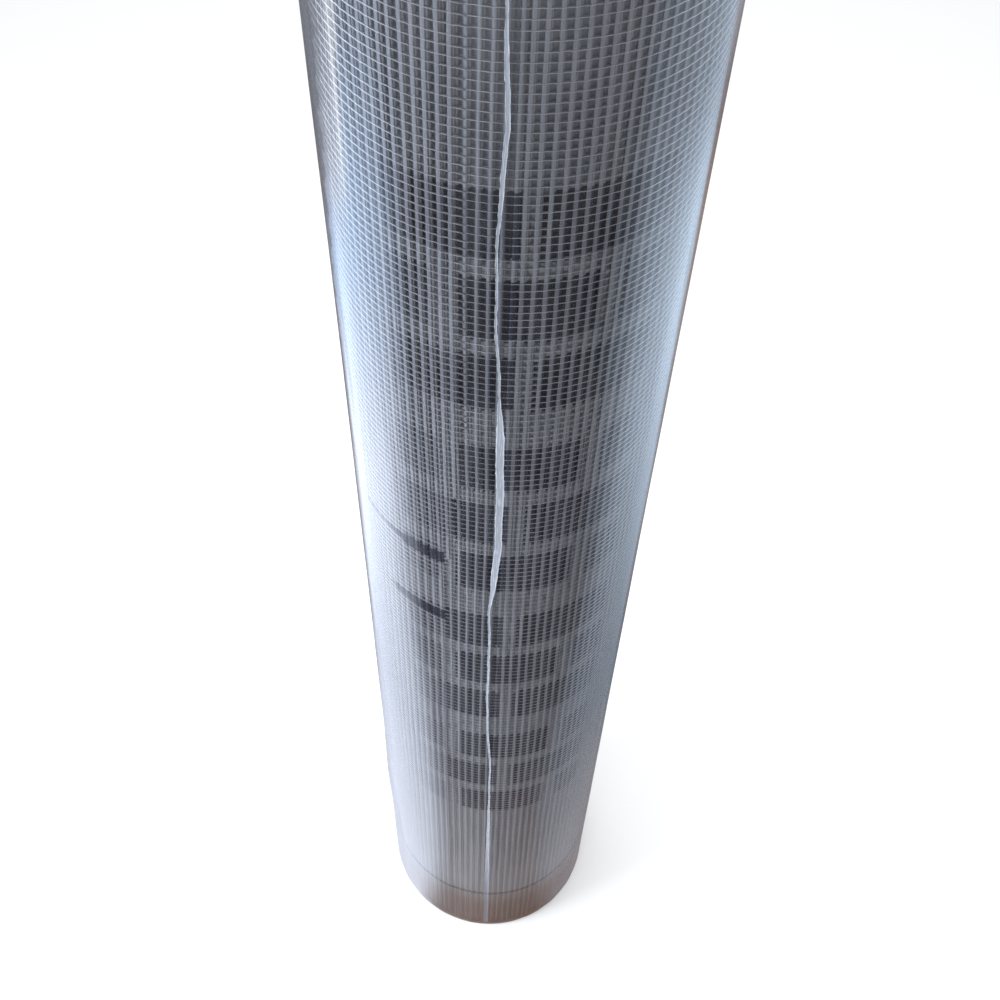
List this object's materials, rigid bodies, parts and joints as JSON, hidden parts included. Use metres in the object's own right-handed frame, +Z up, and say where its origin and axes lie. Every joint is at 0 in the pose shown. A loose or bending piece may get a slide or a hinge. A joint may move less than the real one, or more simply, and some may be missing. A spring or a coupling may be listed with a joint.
{
  "type": "fiberglass mesh roll",
  "caption": "Upright roll of woven fiberglass reinforcing mesh, wound on itself round an open bore, in a loose clear shrink-film sleeve with a welded seam and round end openings.",
  "frame": {"origin": "centre of the face that the roll stands on, on the roll's axis", "axes": "+Z up along the roll's axis; the film's welded seam faces -Y"},
  "size_m": [0.1794, 0.18, 1.0016],
  "materials": {
    "glass_mesh": "coated glass-fibre yarns, satin, pale blue-grey, with dark ink printed on the turn below the outermost one",
    "clear_film": "clear polyethylene shrink film, glossy, wrinkled, with a white welded seam"
  },
  "bodies": {
    "root": {"mesh_roll": "glass_mesh", "film_sleeve": "clear_film"}
  },
  "joints": []
}
